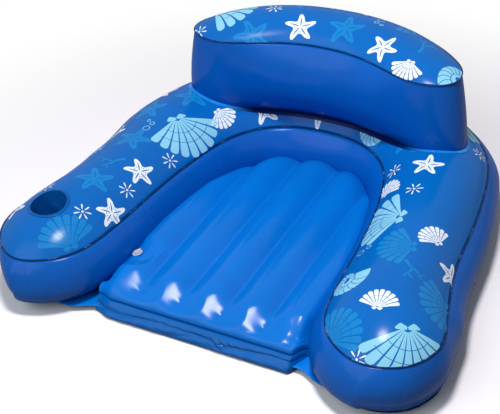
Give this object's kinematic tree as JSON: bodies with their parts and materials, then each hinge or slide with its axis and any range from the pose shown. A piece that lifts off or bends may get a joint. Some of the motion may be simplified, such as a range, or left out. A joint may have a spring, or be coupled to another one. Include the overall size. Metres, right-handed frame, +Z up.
{
  "type": "inflatable pool chair",
  "caption": "Inflatable pool chair: a horseshoe float ring with a raised backrest, a channelled seat pad between the arms, a cup pocket in one arm and push-in valves.",
  "frame": {"origin": "middle of the chair's width and depth, on the surface that it stands on", "axes": "+X to the sitter's left, across the chair; +Y from the open front to the backrest; +Z up"},
  "size_m": [0.9488, 0.8929, 0.3522],
  "materials": {
    "printed_vinyl": "glossy printed vinyl",
    "wall_vinyl": "glossy vinyl",
    "seat_vinyl": "glossy vinyl",
    "pocket_vinyl": "glossy vinyl",
    "clear_vinyl": "clear soft vinyl"
  },
  "bodies": {
    "chair": {"ring_top_panel": "printed_vinyl", "ring_side_wall": "wall_vinyl", "ring_bottom_panel": "wall_vinyl", "cup_holder_pocket": "pocket_vinyl", "backrest_top_panel": "printed_vinyl", "backrest_side_wall": "wall_vinyl", "seat_top_sheet": "seat_vinyl", "seat_front_apron": "seat_vinyl", "seat_floor_sheet": "seat_vinyl", "seat_rib_1": "seat_vinyl", "seat_rib_2": "seat_vinyl", "seat_rib_3": "seat_vinyl", "seat_rib_4": "seat_vinyl", "ring_valve_flange": "clear_vinyl", "backrest_valve_flange": "clear_vinyl", "seat_valve_flange": "clear_vinyl"},
    "ring_valve_stem": {"ring_valve_stem": "clear_vinyl"},
    "ring_valve_plug": {"ring_valve_plug": "clear_vinyl"},
    "backrest_valve_stem": {"backrest_valve_stem": "clear_vinyl"},
    "backrest_valve_plug": {"backrest_valve_plug": "clear_vinyl"},
    "seat_valve_stem": {"seat_valve_stem": "clear_vinyl"},
    "seat_valve_plug": {"seat_valve_plug": "clear_vinyl"}
  },
  "joints": [
    {"name": "ring_valve_slide", "type": "slide", "parent": "chair", "child": "ring_valve_stem", "axis": [-0.7239, 0.6899, 0], "range_m": [0, 0.01]},
    {"name": "ring_plug_hinge", "type": "hinge", "parent": "ring_valve_stem", "child": "ring_valve_plug", "pos_m": [-0.31504, 0.34026, 0.077], "axis": [0.6899, 0.7239, 0], "range_deg": [0, 150]},
    {"name": "backrest_valve_slide", "type": "slide", "parent": "chair", "child": "backrest_valve_stem", "axis": [-0.2082, 0.9743, -0.0855], "range_m": [0, 0.01]},
    {"name": "backrest_plug_hinge", "type": "hinge", "parent": "backrest_valve_stem", "child": "backrest_valve_plug", "pos_m": [-0.09071, 0.38826, 0.22516], "axis": [0.9779, 0.209, 0], "range_deg": [0, 150]},
    {"name": "seat_valve_slide", "type": "slide", "parent": "chair", "child": "seat_valve_stem", "axis": [-0.2752, 0.0001, 0.9614], "range_m": [0, 0.01]},
    {"name": "seat_plug_hinge", "type": "hinge", "parent": "seat_valve_stem", "child": "seat_valve_plug", "pos_m": [-0.19114, -0.241, 0.06593], "axis": [-0.9614, 0, -0.2752], "range_deg": [0, 150]}
  ]
}
